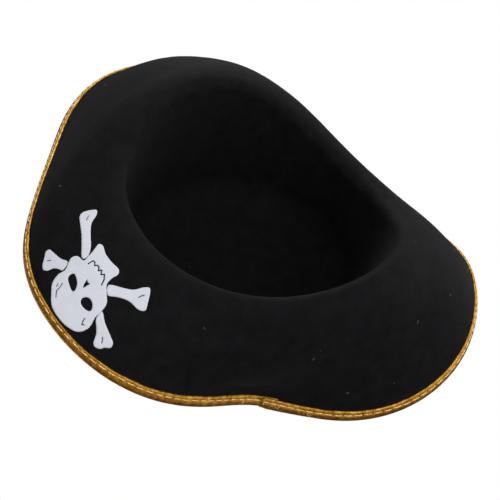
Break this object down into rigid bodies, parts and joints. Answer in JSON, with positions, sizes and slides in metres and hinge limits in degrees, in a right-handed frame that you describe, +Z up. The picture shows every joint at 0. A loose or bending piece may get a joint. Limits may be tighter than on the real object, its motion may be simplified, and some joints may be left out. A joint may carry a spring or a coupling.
{
  "type": "pirate hat",
  "caption": "Moulded felt pirate hat with an oval crown, a brim turned up all round, gold braid on its edge and a skull and crossed bones printed on the front.",
  "frame": {"origin": "middle of the head opening, level with its mean height: where the head carries the hat", "axes": "+Z up through the crown as worn, -Y the front with the print, +X the wearer's left"},
  "size_m": [0.3127, 0.3455, 0.1178],
  "materials": {
    "felt": "short black flock on moulded felt",
    "braid": "woven metallic gold braid",
    "thread": "shiny gold sewing thread",
    "print": "matte white transfer print"
  },
  "bodies": {
    "root": {"felt_body": "felt", "edge_braid": "braid", "needle_stitches": "thread", "bobbin_stitches": "thread", "thread_tails": "thread", "skull_print": "print", "right_upper_bone": "print", "right_lower_bone": "print", "left_upper_bone": "print", "left_lower_bone": "print"}
  },
  "joints": []
}
